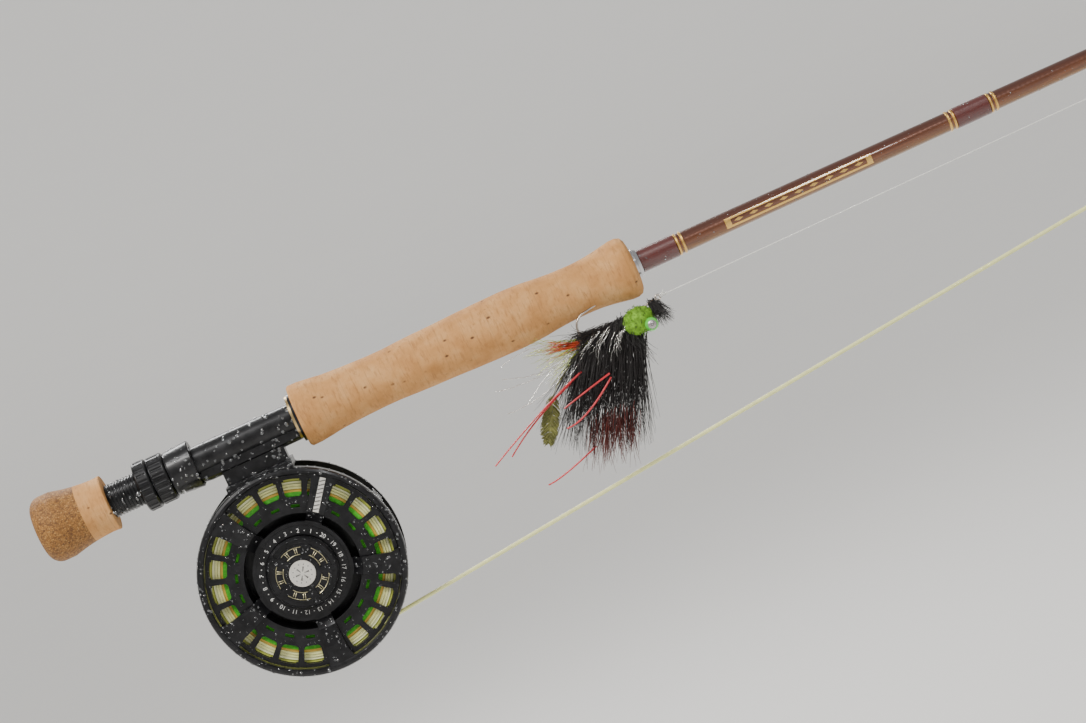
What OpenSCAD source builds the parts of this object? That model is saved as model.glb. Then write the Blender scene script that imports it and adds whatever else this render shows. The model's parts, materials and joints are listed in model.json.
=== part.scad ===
// Four-piece fly rod with a large-arbor disc-drag fly reel, strung up with line, leader and a fly.
// +X runs along the rod to the tip, +Z is up, and the reel hangs below with its axle along Y.
// Lengths along the rod are stations, measured from the rear end of the butt.
// The origin is on the rod's axis at the middle of the cork hand grip.

/* [Rod] */
// Length from the butt's rear end to the tip
rod_len = 2667; // [2640:1:2700]
// Length of the overlap where one section sleeves over the last
ferrule_len = 60; // [50:1:65]
// Radius of the blank under the grip
blank_r = 5.3; // [5.2:0.05:5.4]
// Radius of the blank at the tip
tip_r = 0.95; // [0.9:0.05:1.1]
// Wall of the butt section
blank_wall = 1.1; // [0.9:0.1:1.3]
// Thickness of a thread wrap with its varnish
wrap_t = 0.5; // [0.4:0.1:0.6]

/* [Butt and grip] */
// Largest radius of the fighting butt
butt_r = 16.8; // [16.5:0.1:17]
// Station of the joint between the speckled and the plain cork
butt_joint = 23.6; // [23:0.1:25]
// Station where the fighting butt ends
butt_end = 37; // [36.5:0.1:37.5]
// Station where the cork grip starts
grip_start = 136.3; // [136:0.1:136.6]
// Station where the cork grip ends
grip_end = 314; // [313.5:0.1:314.5]

/* [Reel seat] */
// Radius of the plain barrel
barrel_r = 7.9; // [7.8:0.05:8]
// Height of the thread's ridges
thread_h = 0.45; // [0.4:0.05:0.5]
// Distance from one thread ridge to the next
thread_pitch = 1.6; // [1.6:0.1:1.6]
// Station where the rear lock ring starts
ring_start = 53.2; // [53:0.1:53.4]
// Length of the rear lock ring
rear_ring_len = 6.6; // [6.4:0.1:6.7]
// Length of the front lock ring
front_ring_len = 8.2; // [8:0.1:8.3]
// Length of the sliding hood
hood_len = 13.4; // [13:0.1:13.6]

/* [Reel] */
// Station of the reel's axle
reel_station = 108; // [107.5:0.5:108.5]
// Depth of the reel's axle below the rod's axis
reel_drop = 67.5; // [67:0.5:68]
// Outer radius of the frame's rims
rim_r = 50.5; // [50.2:0.1:50.8]
// Radial thickness of the rims
rim_t = 3.4; // [3.2:0.1:3.5]
// Half of the frame's width
frame_half = 19; // [18.8:0.1:19.2]
// Number of windows around the spool's flange
window_count = 22; // [20:1:22]
// Number of slots around the arbor
slot_count = 20; // [18:1:20]
// Number of spokes in the frame
spoke_count = 5; // [5:1:5]
// Radius of the drag knob
knob_r = 17.5; // [17.2:0.1:17.7]
// Length of the crank's grip
crank_len = 21; // [20:0.5:22]

/* [Guides] */
// Distance from the tip to the first guide
first_gap = 95; // [95:1:95]
// Growth of the spacing from one guide to the next
gap_growth = 12; // [12:1:12]
// Number of snake guides
snake_count = 9; // [9:1:9]
// Depth of the first stripping guide's ring below the rod's axis
strip_drop = 20; // [19.5:0.5:20.5]

/* [Line and fly] */
// Radius of the fly line
line_r = 1; // [0.9:0.05:1]
// Radius of the leader
leader_r = 0.28; // [0.25:0.01:0.3]
// Length of the hook's shank
shank_len = 34; // [33:1:35]
// Radius of the hook's bend
bend_r = 7; // [6.9:0.1:7.2]

/* [Hidden] */
$fn = 96;
eps = 0.01;

grip_mid = round((grip_start + grip_end) / 2);
reel_x = reel_station - grip_mid;
rim_in = rim_r - rim_t;

// Sections of the rod: where each starts and ends
section_len = (rod_len + 3 * ferrule_len) / 4;
section_step = section_len - ferrule_len;
function section_start(k) = k * section_step;
function section_end(k) = k * section_step + section_len;

// Tapers: outer radius against station for each section
check_end = grip_end + 3;
taper_butt = [[0, blank_r], [check_end, blank_r], [575, 4.5], [section_end(0), 4.1]];
taper_lower = [[section_start(1), 5.05], [section_end(0), 4.85], [section_end(1), 3.45]];
taper_upper = [[section_start(2), 4.3], [section_end(1), 4.1], [section_end(2), 2.5]];
taper_tip = [[section_start(3), 3.25], [section_end(2), 3.05], [rod_len, tip_r]];

// Guides, counted from the tip: the last two are the stripping guides
function guide_station(k) = rod_len - k * first_gap - gap_growth * k * (k - 1) / 2;
function guide_taper(k) = k <= 5 ? taper_tip : k <= 9 ? taper_upper : taper_lower;
function snake_h(k) = 5.2 + 0.35 * k;
function snake_w(k) = 2.4 + 0.18 * k;
function blank_at(k) = lookup(guide_station(k), guide_taper(k));
strip_k = [snake_count + 2, snake_count + 1];
strip_r = [8.4, 6.2];
strip_z = [strip_drop, 14.5];
strip_foot = 15;
snake_foot = 7;
function snake_reach(k) = 6.5 + 0.3 * k;

// Reel widths, measured from the middle of the spool towards the drag side
flange_r = rim_in - 0.5;
flange_in = 13;
flange_out = 14.6;
arbor_r = 30;
window_in = 36.2;
window_out = 44.8;
window_half = 6.2;
corner_r = 1.8;
slot_turn = 8;
slot_w = 1.5;
corner_turn = asin(corner_r / (window_in + corner_r));
hub_face = 14;
knob_back = 15.4;
knob_front = 22;
crank_at = 38;
backing_r = 38.2;
line_pack_r = 44.6;
line_dip = 3.1;
dip_near = 3;
dip_far = 9;
exit_r = line_pack_r - line_dip + line_r + 0.35;
spoke_phase = 53.5;
window_phase = 72.7;

module along_rod(u) translate([u - grip_mid, 0, 0]) rotate([0, 90, 0]) children();

module at_reel() translate([reel_x, 0, -reel_drop]) rotate([90, 0, 0]) children();

// A turned piece on the rod from an outline of [station, radius] points
module turned(outline)
    along_rod(0) rotate_extrude() polygon([for (p = outline) [p[1], p[0]]]);

module tube_x(u0, u1, r_out, r_in)
    turned([[u0, r_in], [u0, r_out], [u1, r_out], [u1, r_in]]);

// A ring on the reel's axle
module ring(z0, z1, r_out, r_in)
    translate([0, 0, z0]) difference() {
        cylinder(h = z1 - z0, r = r_out);
        translate([0, 0, -1]) cylinder(h = z1 - z0 + 2, r = r_in);
    }

// A layer that follows a taper between two stations
module skin(u0, u1, taper, t, bevel = 0.3)
    turned([[u0, lookup(u0, taper)], [u0 + bevel, lookup(u0 + bevel, taper) + t],
        [u1 - bevel, lookup(u1 - bevel, taper) + t], [u1, lookup(u1, taper)]]);

// A round bar between two points
function len3(v) = sqrt(v * v);
module bar(a, b, r)
    translate(a) rotate([0, acos((b[2] - a[2]) / len3(b - a)), atan2(b[1] - a[1], b[0] - a[0])])
        cylinder(h = len3(b - a), r = r, $fn = 24);

// A round tube swept along a list of points
function unit(v) = v / len3(v);
function course(path, i) = unit(path[min(i + 1, len(path) - 1)] - path[max(i - 1, 0)]);
function hoop(c, t, ref, r, n) =
    let (side = unit(cross(ref, t)), up = cross(t, side))
    [for (j = [0 : n - 1]) c + r * (cos(360 * j / n) * side + sin(360 * j / n) * up)];
module tube(path, radii, ref = [0, 0, 1], n = 8) {
    last = len(path) - 1;
    points = [for (i = [0 : last])
        each hoop(path[i], course(path, i), ref, radii[min(i, len(radii) - 1)], n)];
    sides = [for (i = [0 : last - 1], j = [0 : n - 1])
        [i * n + j, (i + 1) * n + j, (i + 1) * n + (j + 1) % n, i * n + (j + 1) % n]];
    caps = [[for (j = [0 : n - 1]) j], [for (j = [n - 1 : -1 : 0]) last * n + j]];
    polyhedron(points = points, faces = concat(sides, caps));
}

// ---- Butt and grip ----

butt_land = [6.5, 11.5];
butt_bore_start = 20;
butt_joint_r = 14.35;

module butt_cap() color("#a5672f")
    turned(concat(
        [for (a = [0 : 10 : 90]) [butt_land[0] * (1 - cos(a)), butt_r - butt_land[0] * (1 - sin(a))]],
        [[butt_land[1], butt_r], [18.3, 15.2], [butt_joint, butt_joint_r], [butt_joint, blank_r],
            [butt_bore_start, blank_r], [butt_bore_start, 0], [0, 0]]));

module butt_ring() color("#d9a874")
    turned([[butt_joint, blank_r], [butt_joint, butt_joint_r], [28, 13.85], [32.5, 13.6], [35, 13.7],
        [36.2, 13.9], [butt_end - 0.2, 13.8], [butt_end, 13.4], [butt_end, blank_r]]);

// Half-wells style grip: flared rear, waist, belly, second waist and front flare
grip_outline = [[136.3, 14.8], [137.3, 15.7], [142, 15.6], [148, 14.9], [153, 14.2], [158, 13.8],
    [164, 13.45], [170, 13.2], [178, 12.95], [186, 13.0], [194, 13.4], [202, 13.7], [213, 13.9],
    [223, 14.3], [235, 14.6], [248, 14.8], [254, 14.6], [261, 14.2], [268, 13.4], [275, 12.85],
    [283, 12.65], [288, 12.7], [293, 13.05], [298, 13.7], [303, 14.6], [307, 15.3], [310, 15.35],
    [312.4, 14.5], [313.6, 12.6], [314, 10.5]];
hood_pocket_end = 150;

module grip_cork() color("#d9a874")
    turned(concat(grip_outline, [[grip_end, blank_r], [hood_pocket_end, blank_r],
        [hood_pocket_end, fixed_hood_r], [grip_start, fixed_hood_r]]));

module winding_check() color("silver")
    turned([[grip_end, blank_r], [grip_end, 7.6], [grip_end + 1.2, 7.6], [grip_end + 1.5, 6.9],
        [check_end, 6.3], [check_end, blank_r]]);

// ---- Reel seat ----

front_ring_start = ring_start + rear_ring_len + 0.35;
hood_start = front_ring_start + front_ring_len + 0.35;
foot_start = 72;
foot_end = 145;
foot_r = 10.7;
foot_half = 6.5;
fixed_hood_start = 134.8;
fixed_hood_r = 12.3;
thread_r = barrel_r + thread_h;
thread_end = 81;

module seat_barrel() color("#1c1c20")
    turned(concat([[butt_end, blank_r]],
        [for (u = [butt_end : thread_pitch : thread_end])
            each [[u, barrel_r], [u + 0.4, thread_r], [u + 0.8, thread_r], [u + 1.2, barrel_r]]],
        [[hood_pocket_end, barrel_r], [hood_pocket_end, blank_r]]));

module grip_ring(start, length, r, teeth) difference() {
    turned([[start, thread_r + 0.05], [start, r - 0.6], [start + 0.6, r], [start + length - 0.6, r],
        [start + length, r - 0.6], [start + length, thread_r + 0.05]]);
    for (i = [0 : teeth - 1]) along_rod(start + 1) rotate([0, 0, 360 * i / teeth])
        translate([r + 0.45, 0, 0]) cylinder(h = length - 2, r = 1, $fn = 24);
}

module rear_lock_ring() color("#17171a") grip_ring(ring_start, rear_ring_len, 12.5, 24);

module front_lock_ring() color("#17171a") grip_ring(front_ring_start, front_ring_len, 12, 24);

module foot_sector(grow) intersection() {
    tube_x(foot_start - 1, foot_end + 1, foot_r + 2, barrel_r - 1);
    translate([foot_start - 2 - grip_mid, -foot_half - grow, -foot_r - 3])
        cube([foot_end - foot_start + 4, 2 * (foot_half + grow), foot_r + 3]);
}

module sliding_hood() color("#1c1c20") difference() {
    turned([[hood_start, thread_r + 0.35], [hood_start, 10.6], [hood_start + 1, 11],
        [hood_start + hood_len - 0.5, 11.9], [hood_start + hood_len, 11.5],
        [hood_start + hood_len, thread_r + 0.35]]);
    intersection() {
        tube_x(foot_start - 1.4, hood_start + hood_len + 1, foot_r + 0.5, barrel_r);
        foot_sector(0.5);
    }
}

module fixed_hood() color("#26231d") difference() {
    tube_x(fixed_hood_start, hood_pocket_end, fixed_hood_r, barrel_r);
    intersection() {
        tube_x(fixed_hood_start - 1, foot_end, foot_r, barrel_r - 0.5);
        foot_sector(0);
    }
}

module seat_collar() color("#b08d57") difference() {
    tube_x(fixed_hood_start - 1.2, fixed_hood_start, 11.6, barrel_r);
    foot_sector(0.2);
}

// ---- Blanks, wraps and guides ----

module blank_butt() color("#8a5a2c")
    turned(concat([[butt_bore_start, blank_r - blank_wall], [butt_bore_start, blank_r]],
        [for (p = taper_butt) if (p[0] > 0) p], [[section_end(0), 4.1 - blank_wall]]));

// The lower end of each upper section is a sleeve over the end of the section below
module sleeved(taper, below, wall) let (n = len(taper) - 1)
    turned(concat([[taper[0][0], lookup(taper[0][0], below)]], taper,
        [[taper[n][0], taper[n][1] - wall], [taper[1][0] + 0.5, taper[1][1] - wall],
            [taper[1][0] + eps, lookup(taper[1][0], below)],
            [taper[1][0], lookup(taper[1][0], below)]]));

module blank_lower() color("#8a5a2c") sleeved(taper_lower, taper_butt, 0.9);
module blank_upper() color("#8a5a2c") sleeved(taper_upper, taper_lower, 0.7);
module blank_tip() color("#8a5a2c") sleeved(taper_tip, taper_upper, 0.5);

wrap_start = check_end;
wrap_end = 336.5;
deco_start = 485;
deco_end = 503;
band_w = 1.4;
bands = [wrap_end, wrap_end + 2.6, deco_start - 4, deco_start - band_w, deco_end, deco_end + 2.6];

module grip_wraps() color("#6d2226") {
    skin(wrap_start, wrap_end, taper_butt, wrap_t);
    skin(deco_start, deco_end, taper_butt, wrap_t);
}

module gold_bands() color("#d9a63a")
    for (u = bands) skin(u, u + band_w, taper_butt, wrap_t * 0.8);

panel_start = 362;
panel_end = 440;

module name_panel() color("#d9a63a") difference() {
    intersection() {
        skin(panel_start, panel_end, taper_butt, 0.15, 0.1);
        translate([panel_start - 1 - grip_mid, -20, -3]) cube([panel_end - panel_start + 2, 20, 5]);
    }
    translate([panel_start - grip_mid + 3, -20, -2]) cube([panel_end - panel_start - 6, 20, 3]);
}

module ferrule_wraps() color("#6d2226") {
    skin(section_start(1), section_start(1) + 18, taper_lower, wrap_t);
    skin(section_start(2), section_start(2) + 16, taper_upper, wrap_t);
    skin(section_start(3), section_start(3) + 14, taper_tip, wrap_t);
}

module guide_foot(u0, u1, taper, w) intersection() {
    skin(u0, u1, taper, 0.6, 0.1);
    translate([u0 - 1 - grip_mid, -w, -12]) cube([u1 - u0 + 2, 2 * w, 12]);
}

foot_w = 1.3;
foot_bare = 3;
foot_wrap_t = 0.95;

module guide_wraps() color("#6d2226") {
    for (i = [0, 1]) let (u = guide_station(strip_k[i]), reach = strip_z[i] * 0.85)
        for (d = [-1, 1]) let (m = u + d * (reach + foot_bare + strip_foot / 2))
            skin(m - strip_foot / 2, m + strip_foot / 2, taper_lower, foot_wrap_t, 0.6);
    for (k = [1 : snake_count], d = [-1, 1])
        let (m = guide_station(k) + d * (snake_reach(k) + snake_foot / 2 + 1))
            skin(m - snake_foot / 2, m + snake_foot / 2, guide_taper(k), foot_wrap_t, 0.6);
}

// Two-footed stripping guide: a leg each way from the blank to the ring
module stripping_frame(i) {
    k = strip_k[i];
    x = guide_station(k) - grip_mid;
    z0 = -blank_at(k) - 0.3;
    zr = -strip_z[i];
    r = strip_r[i];
    reach = strip_z[i] * 0.85;
    translate([x, 0, zr]) rotate([0, 90, 0]) ring(-1, 1, r, r - 1);
    for (d = [-1, 1]) let (m = guide_station(k) + d * (reach + 1))
        guide_foot(m - foot_bare + 1, m + foot_bare - 1, taper_lower, foot_w);
    bar([x - reach, 0, z0 - 0.5], [x, 0, zr + r - 0.4], 0.8);
    for (side = [-1, 1])
        bar([x + reach, 0, z0 - 0.5], [x, side * (r - 0.5) * 0.94, zr + (r - 0.5) * 0.34], 0.7);
}

module stripping_frames() color("#2c2c30") for (i = [0, 1]) difference() {
    stripping_frame(i);
    translate([guide_station(strip_k[i]) - grip_mid - strip_foot / 2, 0, -strip_z[i]])
        rotate([0, 90, 0]) cylinder(h = strip_foot, r = strip_r[i] - 1);
}

module stripping_rings() color("#3a3a40")
    for (i = [0, 1]) translate([guide_station(strip_k[i]) - grip_mid, 0, -strip_z[i]])
        rotate([0, 90, 0]) rotate_extrude() difference() {
            translate([strip_r[i] - 2.2, -1.3]) square([1.2, 2.6]);
            translate([strip_r[i] - 2.7, -1.3]) circle(r = 0.7, $fn = 24);
            translate([strip_r[i] - 2.7, 1.3]) circle(r = 0.7, $fn = 24);
        }

// Snake guide: one turn of wire from foot to foot, high in the middle
module snake(k) {
    u = guide_station(k);
    reach = snake_reach(k);
    z0 = -blank_at(k) - 0.75;
    tube([for (t = [0 : 1 / 14 : 1.001]) [u - grip_mid + (2 * t - 1) * reach,
        snake_w(k) * sin(360 * t), z0 - snake_h(k) * sin(180 * t)]], [0.42]);
    for (d = [-1, 1]) guide_foot(u + d * reach - 1, u + d * reach + 1, guide_taper(k), foot_w * 0.7);
}

module snake_guides() color("#c8c8cc") for (k = [1 : snake_count]) snake(k);

tip_ring_r = 3;
tip_x = rod_len + 4 - grip_mid;
tip_z = -4.6;

module tip_top() color("#c8c8cc") {
    skin(rod_len - 14, rod_len, taper_tip, 0.5);
    translate([tip_x, 0, tip_z]) rotate([0, 90, 0])
        rotate_extrude() translate([tip_ring_r, 0]) circle(r = 0.5, $fn = 24);
    for (side = [-1, 1]) bar([rod_len - 8 - grip_mid, side * 1.5, -0.8],
        [tip_x, side * tip_ring_r, tip_z], 0.4);
    bar([rod_len - 0.2 - grip_mid, 0, 0], [tip_x, 0, tip_z + tip_ring_r], 0.45);
}

// ---- Reel foot and frame ----

block_top = 51;
block_half = 17;
pedestal_half = 16;
screw_xs = [-10, 0, 10];
screw_r = 1.5;

module foot_bolt() {
    cylinder(h = 8, r = screw_r);
    cylinder(h = 1.3, r = 2.6);
}

module on_block() for (x = screw_xs) at_reel()
    translate([x, rim_in + 0.3, 0]) rotate([-90, 0, 0]) children();

module foot_screws() color("#8a8a8e") on_block() foot_bolt();

module reel_foot() color("#1c1c20") difference() {
    union() {
        intersection() {
            turned([[foot_start, barrel_r], [foot_start, 9], [86, foot_r], [133, foot_r],
                [foot_end, 9.3], [foot_end, barrel_r]]);
            foot_sector(0);
        }
        intersection() {
            translate([reel_x - pedestal_half, -5.5, -reel_drop + block_top])
                cube([2 * pedestal_half, 11, reel_drop - block_top - barrel_r - 0.5]);
            translate([reel_x, 6, 3]) rotate([90, 0, 0]) cylinder(h = 12, r = 25.5);
        }
    }
    tube_x(foot_start - 1, foot_end + 1, barrel_r, 0);
    tube_x(foot_start - 1, thread_end + 2, thread_r, 0);
    on_block() foot_bolt();
}

pillar_angles = [20, 160, 215, 262, 338];
front_rim_in = 11;
rear_rim_in = 14;
inlay_t = 0.25;
inlay_w = 2.8;

module frame_pillar(a) rotate([0, 0, a]) translate([rim_in + 0.2, -3, -16]) cube([2.6, 6, 30]);

module spoke(a) intersection() {
    rotate_extrude() polygon([[21, 9.2], [26, 9.2], [27.2, 15.2], [rim_in + 1, 15.2],
        [rim_in + 1, 18.4], [38, 18.4], [29, 17.4], [24.5, hub_face], [21, hub_face]]);
    rotate([0, 0, a]) translate([0, 0, 5]) linear_extrude(height = 18)
        polygon([[20, -4], [30, -4.2], [43, -5.2], [49, -7.5], [49, 7.5], [43, 5.2], [30, 4.2], [20, 4]]);
}

module reel_frame() color("#16161a") difference() {
    at_reel() {
        rotate_extrude() polygon([[rim_in, front_rim_in], [rim_r, front_rim_in], [rim_r, frame_half - 1.6],
            [rim_r - 0.5, frame_half - 0.5], [rim_r - 1.6, frame_half], [rim_in + 0.6, frame_half],
            [rim_in, frame_half - 0.6]]);
        rotate_extrude() polygon([[rim_in, -rear_rim_in], [rim_r, -rear_rim_in], [rim_r, 1.6 - frame_half],
            [rim_r - 0.5, -frame_half + 0.5], [rim_r - 1.6, -frame_half], [rim_in + 0.6, -frame_half],
            [rim_in, -frame_half + 0.6]]);
        for (a = pillar_angles) frame_pillar(a);
        for (i = [0 : spoke_count - 1]) spoke(spoke_phase + i * 360 / spoke_count);
        translate([-block_half, rim_in + 0.3, -16]) cube([2 * block_half, block_top - rim_in - 0.3, 30]);
        ring(8, hub_face, 24, spindle_r);
    }
    on_block() foot_bolt();
    at_reel() rotate([0, 0, pin_angle]) translate([pin_at, 0, 0]) cylinder(h = 12, r = pin_r);
}

// The inlay follows the dished face of one spoke
module spoke_inlay() color("#d6d6d0") at_reel() intersection() {
    rotate_extrude() polygon([[29.5, 17.4 + 0.5 / 9], [38, 18.4], [46.5, 18.4],
        [46.5, 18.4 + inlay_t], [38, 18.4 + inlay_t], [29.5, 17.4 + 0.5 / 9 + inlay_t]]);
    rotate([0, 0, spoke_phase]) translate([28, -inlay_w / 2, 15]) cube([20, inlay_w, 6]);
}

dial_in = 17.9;
dial_out = 21.9;

module dial_ring() color("#3a3a3e") at_reel() ring(hub_face, hub_face + 0.8, dial_out, dial_in);

// ---- Drag ----

spindle_r = 4;
post_r = 3;
clutch_r = 9.2;
boss_r = 5.6;
housing_r = 20;
gear_r = 18.5;
pin_at = 24;
pin_r = 1.2;
pin_angle = 200;

module spindle() color("#b9b9bd") at_reel() {
    translate([0, 0, -19.4]) cylinder(h = 19.4 + hub_face, r = spindle_r);
    translate([0, 0, hub_face - eps]) cylinder(h = 6, r = post_r);
}

module bearing(z) {
    ring(z, z + 4, 5.3, spindle_r);
    ring(z, z + 4, 8, 6.7);
    for (i = [0 : 7]) rotate([0, 0, 45 * i]) translate([6, 0, z + 2]) sphere(r = 0.69, $fn = 24);
}

module ball_bearings() color("#cfcfd4") at_reel() for (z = [-11.4, -15.8]) bearing(z);

module one_way_clutch() color("#a8a8ac") at_reel() ring(-2, 1.8, clutch_r, boss_r + 0.05);

module drag_housing() color("#2a2a2e") at_reel() {
    ring(-2.6, 8, housing_r, 18.6);
    ring(-4, -2.6, housing_r, 10.6);
}

module disc_stack(zs, t) at_reel() for (z = zs) ring(z, z + t, 18.3, clutch_r);

module steel_discs() color("#b5b5b9") disc_stack([-2.6, -0.8, 1], 0.8);
module carbon_discs() color("#242426") disc_stack([-1.8, 0], 1);

module pressure_plate() color("#9a9a9e") at_reel() ring(2.6, 4, 18.2, spindle_r + 0.35);

module drag_springs() color("#c0c0c4") at_reel() {
    ring(4.6, 5.4, 12, 8);
    ring(5.4, 6.2, 14, 10);
    ring(6.2, 8, 12, 8);
}

module drag_seal() color("#191919") at_reel() translate([0, 0, -3.3])
    rotate_extrude() translate([9.9, 0]) circle(r = 0.7, $fn = 32);

module click_gear() color("#b09a5a") at_reel() difference() {
    ring(-7, -5, gear_r, 13);
    for (i = [0 : 35]) rotate([0, 0, 10 * i]) translate([gear_r + 0.2, 0, -8])
        cylinder(h = 4, r = 0.9, $fn = 24);
}

module pawl_pin() color("#9c9ca0") at_reel() rotate([0, 0, pin_angle])
    translate([pin_at, 0, -6.6]) cylinder(h = 6.6 + 12, r = pin_r);

module click_pawl() color("#b5b5b9") at_reel() rotate([0, 0, pin_angle]) translate([pin_at, 0, -6.4])
    difference() {
        union() {
            cylinder(h = 1.6, r = 2.6);
            linear_extrude(height = 1.6) polygon([[-2, -1.9], [-4.7, -0.4], [-4.7, 0.4], [-2, 1.9]]);
        }
        translate([0, 0, -1]) cylinder(h = 4, r = pin_r + 0.05);
    }

module pawl_spring() color("#c0c0c4") at_reel() rotate([0, 0, pin_angle]) translate([pin_at, 0, 0])
    ring(-4.3, -3.1, 2.2, pin_r);

// ---- Drag knob ----

groove_gap = 8;
groove_mid = 22.5;
badge_r = 6.4;
module arc_groove(mid, span, r_in, r_out, depth)
    rotate([0, 0, mid - span / 2]) translate([0, 0, knob_front - depth])
    rotate_extrude(angle = span) translate([r_in, 0]) square([r_out - r_in, depth + 1]);

module drag_knob() color("#141417") at_reel() difference() {
    rotate_extrude() polygon([[post_r + 0.05, knob_back], [knob_r - 0.8, knob_back],
        [knob_r, knob_back + 1], [knob_r, knob_front - 1.2], [knob_r - 1, knob_front],
        [badge_r + 0.5, knob_front], [badge_r + 0.5, knob_front - 1], [post_r + 0.05, knob_front - 1]]);
    for (i = [0 : 4]) {
        arc_groove(groove_mid + 72 * i, 72 - groove_gap, 13.9, 16.3, 0.9);
        arc_groove(groove_mid + 72 * i, 72 - 2 * groove_gap, 8.8, 13.1, 0.6);
    }
}

module knob_badge() color("#dcdcdc") at_reel() {
    translate([0, 0, knob_front - 1]) cylinder(h = 1.3, r = badge_r);
    translate([0, 0, knob_front + 0.3 - eps]) ring(0, 0.25, badge_r - 0.4, badge_r - 1);
}

// ---- Spool ----

module sector(a, r_in, r_out, h) rotate([0, 0, -a]) rotate_extrude(angle = 2 * a)
    translate([r_in, 0]) square([r_out - r_in, h]);

// One window: its inner corners are rounded, and its outer ones are nearly square
module flange_window(h) {
    sector(window_half, window_in + corner_r, window_out - 0.8, h);
    sector(window_half - 1.2, window_in + corner_r, window_out, h);
    sector(window_half - corner_turn, window_in, window_out, h);
    for (d = [-1, 1]) rotate([0, 0, d * (window_half - corner_turn)])
        translate([window_in + corner_r, 0, 0]) cylinder(h = h, r = corner_r, $fn = 32);
}

module flange_windows(z, skip) for (i = [0 : window_count - 1]) {
    a = window_phase + i * 360 / window_count;
    if (skip == 0 || abs(sin(a)) > skip) rotate([0, 0, a]) translate([0, 0, z]) flange_window(3);
}

module flange_slots(z) for (i = [0 : slot_count - 1])
    rotate([0, 0, i * 360 / slot_count - slot_turn / 2]) translate([0, 0, z])
        rotate_extrude(angle = slot_turn) translate([arbor_r + 1, 0]) square([slot_w, 3]);

module spool() color("#18181b") at_reel() difference() {
    union() {
        ring(-flange_out, flange_out, arbor_r, arbor_r - 1.8);
        ring(flange_in, flange_out, flange_r, arbor_r - 1);
        ring(-flange_out, -flange_in, flange_r, arbor_r - 1);
        ring(-10, -7, arbor_r - 1, 9);
        ring(-16, -7, 10, 8.03);
        ring(-7.01, -4.5, 10, boss_r - 1.1);
        ring(-7.2, 1.6, boss_r, boss_r - 1.1);
    }
    flange_windows(flange_in - 1, 0);
    flange_windows(-flange_out - 1, 0.3);
    flange_slots(flange_in - 1);
}

module backing() color("#6fd23a") at_reel() ring(-flange_in, flange_in, backing_r, arbor_r);

// Wound lower in the middle of its width, where the running line leaves it
module wound_line() color("#dfe08a") at_reel() rotate_extrude() polygon([[backing_r, -flange_in],
    [line_pack_r, -flange_in], [line_pack_r, -dip_far], [line_pack_r - line_dip, -dip_near],
    [line_pack_r - line_dip, dip_near], [line_pack_r, dip_far], [line_pack_r, flange_in],
    [backing_r, flange_in]]);

// ---- Crank side ----

crank_z0 = -16.6;
crank_z1 = crank_z0 - crank_len;

module handle_post() color("#b9b9bd") at_reel() translate([crank_at, 0, 0]) {
    translate([0, 0, -15.8]) cylinder(h = 15.8 - flange_out, r = 4.6);
    translate([0, 0, crank_z1 - 0.6]) cylinder(h = -crank_z1 + 0.6 - 15.8 + eps, r = 2.4);
}

module handle_knob() color("#202024") at_reel() translate([crank_at, 0, 0]) rotate_extrude()
    polygon([[2.45, crank_z0], [6.2, crank_z0], [6.8, crank_z0 - 1.5], [5.8, crank_z0 - 8],
        [7, crank_z1 + 4], [7.2, crank_z1 + 1.5], [6.2, crank_z1], [2.45, crank_z1]]);

// Slotted screw that keeps the grip on its post
screw_head_r = 3.6;
module handle_screw() color("#8a8a8e") at_reel() translate([crank_at, 0, crank_z1 - 1.9]) difference() {
    rotate_extrude() polygon([[0, 0], [screw_head_r - 0.5, 0], [screw_head_r, 0.5],
        [screw_head_r, 1.3], [0, 1.3]]);
    rotate([0, 0, 35]) translate([-screw_head_r - 1, -0.5, -1]) cube([2 * screw_head_r + 2, 1, 1.6]);
}

// Stepped weight opposite the crank
weight_r = 6;
module counterweight() color("#55555a") at_reel() translate([-crank_at, 0, -flange_out - 2.6])
    rotate_extrude() polygon([[0, 0.5], [2.2, 0.5], [2.7, 0], [weight_r - 0.6, 0], [weight_r, 0.6],
        [weight_r, 2.6], [0, 2.6]]);

module spool_cap() color("#26262a") at_reel() difference() {
    translate([0, 0, -21.5]) cylinder(h = 5.1, r = 9.5);
    translate([0, 0, -19.8]) cylinder(h = 5, r = spindle_r + 0.05);
    for (i = [0 : 11]) rotate([0, 0, 30 * i]) translate([10.1, 0, -22]) cylinder(h = 6, r = 1.2);
}

// ---- Line, leader and fly ----

line_end_x = tip_x + 3.4;
exit_angle = 5.5;
line_exit = [reel_x + exit_r * sin(exit_angle), 0, -reel_drop - exit_r * cos(exit_angle)];
snake_mid = 0.52;
line_path = concat([line_exit],
    [for (i = [0, 1]) [guide_station(strip_k[i]) - grip_mid, 0, -strip_z[i]]],
    [for (k = [snake_count : -1 : 1])
        [guide_station(k) - grip_mid, 0, -blank_at(k) - 0.75 - snake_h(k) * snake_mid]],
    [[tip_x, 0, tip_z], [line_end_x, 0, tip_z]]);

module fly_line() color("#e6e9a8") tube(line_path, [line_r]);

// A nail knot joins the line to the leader just past the tip
module line_knot() color("#e6e9a8") translate([line_end_x, 0, tip_z]) rotate([0, 90, 0])
    cylinder(h = 6, r = 1.4);

hook_eye = [317.5 - grip_mid, -9, -18.6];
hook_tilt = [-6, -10, 0];
knot_end = [line_end_x + 6, 0, tip_z];
eye_r = 1.7;
leader_start = hook_eye + [1.4, 0, 0.2];
leader_path = [knot_end, knot_end + [2, -0.9, 0], knot_end + [2.6, -1.8, 0], knot_end + [2, -2.8, 0],
    knot_end + [-1, -3.6, 0], leader_start];

module leader() color("#d8d8d0") tube(leader_path, [leader_r]);

wire_r = 0.55;
point_len = 13;

module on_hook() translate(hook_eye) rotate(hook_tilt) children();

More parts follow.
